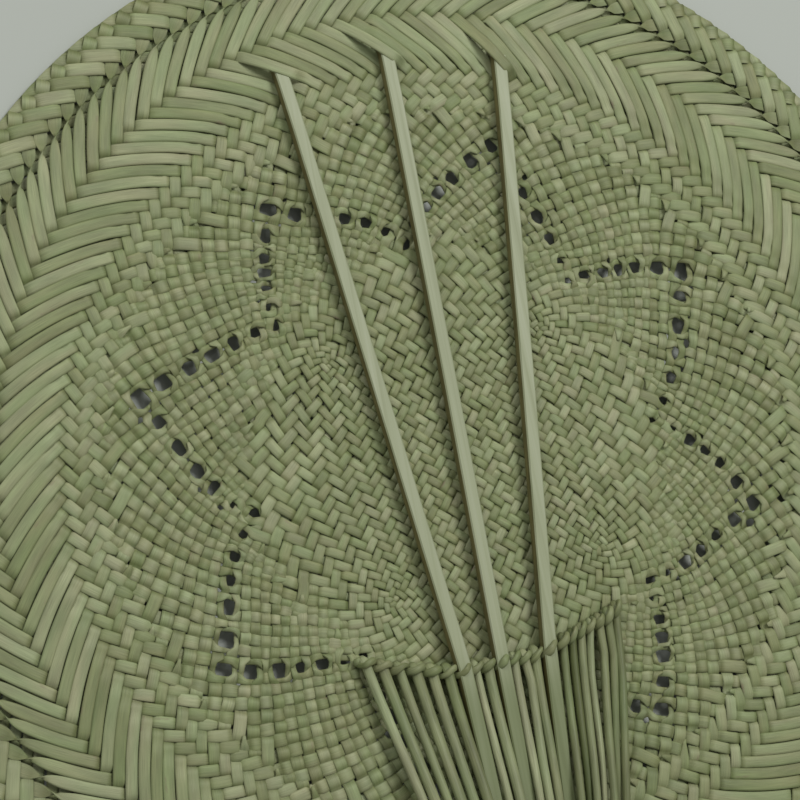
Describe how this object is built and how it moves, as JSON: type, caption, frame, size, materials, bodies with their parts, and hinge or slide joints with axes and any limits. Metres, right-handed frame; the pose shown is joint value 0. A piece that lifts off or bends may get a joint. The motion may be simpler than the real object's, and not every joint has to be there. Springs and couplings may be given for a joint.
{
  "type": "palm leaf fan",
  "caption": "Round hand fan plaited from palm strips, with an openwork star, a chevron border, bamboo splints and gathered strands running into a bound handle.",
  "frame": {"origin": "under the middle of the fan, on the table that the rim lies on", "axes": "+Y from the handle to the top of the disc, +Z out of the face, +X to the right of someone looking at the face"},
  "size_m": [0.26, 0.386, 0.0116],
  "materials": {
    "palm_weave": "matte plaited palm strip, sage green",
    "palm_border": "matte palm strip in long floats",
    "bamboo": "pale split bamboo, satin",
    "strand": "rolled palm strands, satin",
    "twine": "twisted palm cord",
    "binding": "flat palm strip, wound"
  },
  "bodies": {
    "root": {"woven_panel": "palm_weave", "chevron_inner_limbs": "palm_border", "chevron_outer_limbs": "palm_border", "rim_plait": "palm_weave", "rib_left": "bamboo", "rib_middle": "bamboo", "rib_right": "bamboo", "gather_strand_01": "strand", "gather_strand_02": "strand", "gather_strand_03": "strand", "gather_strand_04": "strand", "gather_strand_05": "strand", "gather_strand_06": "strand", "gather_strand_07": "strand", "gather_strand_08": "strand", "gather_strand_09": "strand", "gather_strand_10": "strand", "gather_strand_11": "strand", "gather_strand_12": "strand", "gather_strand_13": "strand", "gather_strand_14": "strand", "gather_strand_15": "strand", "gather_strand_16": "strand", "gather_strand_17": "strand", "gather_strand_18": "strand", "twine_back_ply": "twine", "twine_front_ply": "twine", "handle_wrap": "binding"}
  },
  "joints": []
}
